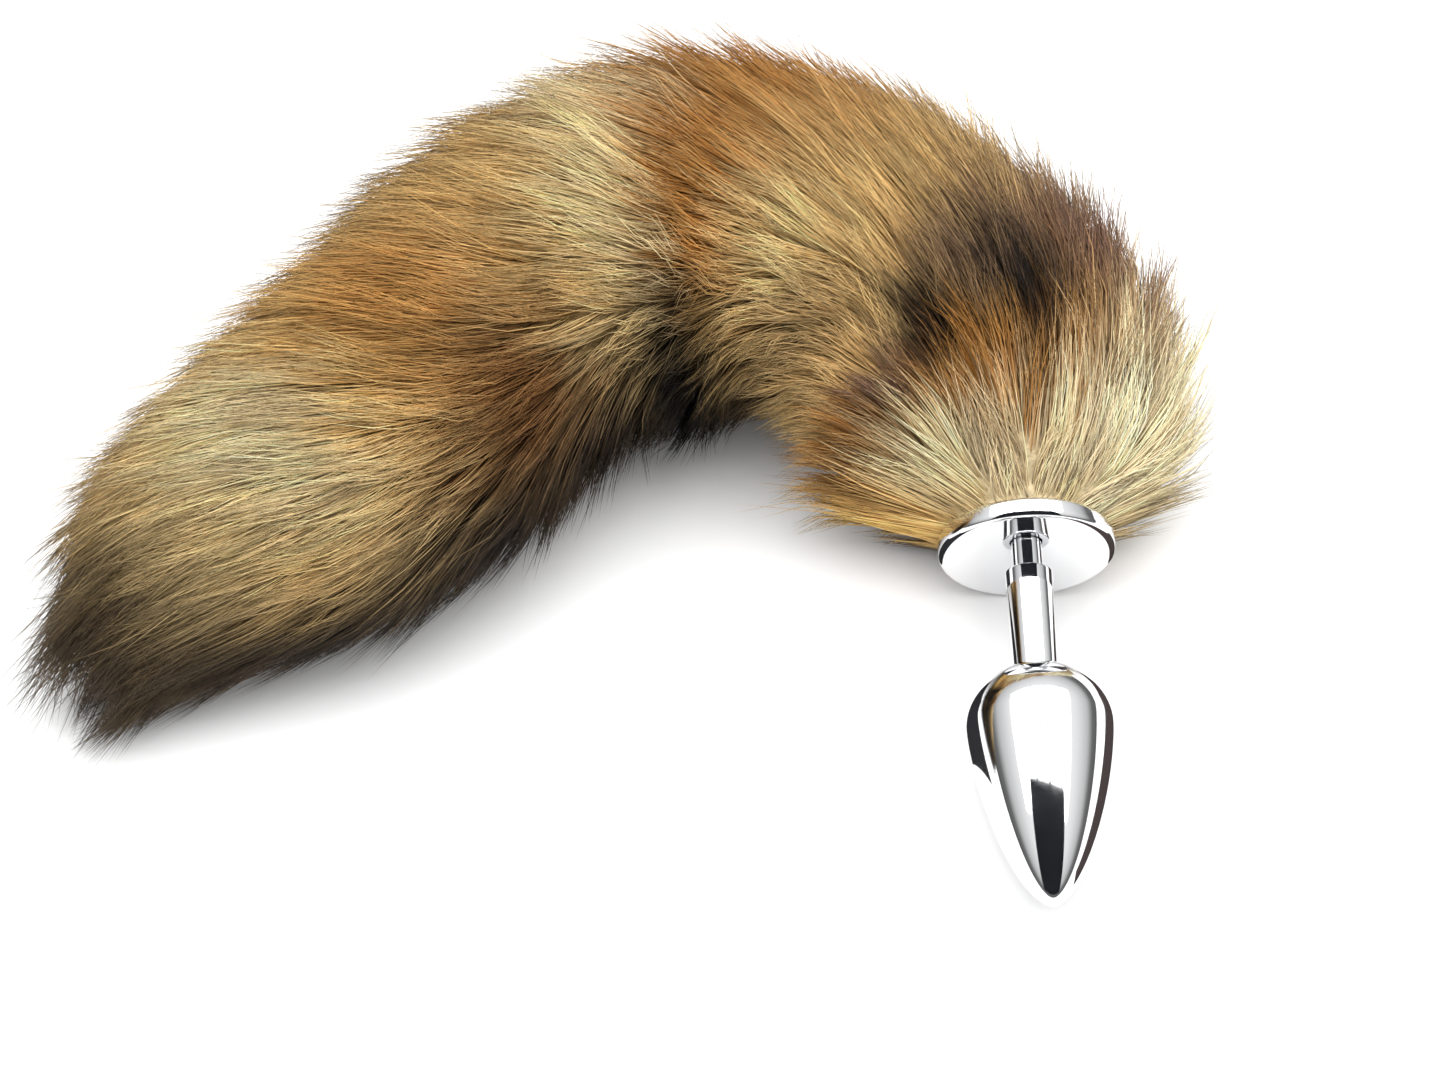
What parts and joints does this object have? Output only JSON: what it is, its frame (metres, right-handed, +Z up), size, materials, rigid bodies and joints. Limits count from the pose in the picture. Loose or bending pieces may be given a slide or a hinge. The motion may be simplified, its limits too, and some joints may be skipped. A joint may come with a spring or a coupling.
{
  "type": "fox tail butt plug",
  "caption": "Polished metal plug with a tapered bulb, a slim stem and a round flange, and a deep fox-fur tail behind the flange that lies in a wide curve.",
  "frame": {"origin": "centre of the whole part's box seen from above, on the surface that it lies on", "axes": "+X along the longest extent, from the tail's tip towards the plug's side; +Y away from the plug's tip; +Z up, the shortest extent"},
  "size_m": [0.228, 0.1864, 0.0564],
  "materials": {
    "polished_metal": "mirror polished metal with faint wiping marks",
    "plain_metal": "plain turned metal, hidden in the fur",
    "fox_fur": "long soft fox fur, cream at the root, rust, gold and pale bands, charcoal tips and tail end"
  },
  "bodies": {
    "root": {"plug_head": "polished_metal", "base_flange": "polished_metal", "tail_ferrule": "plain_metal", "tail_fur": "fox_fur"}
  },
  "joints": []
}
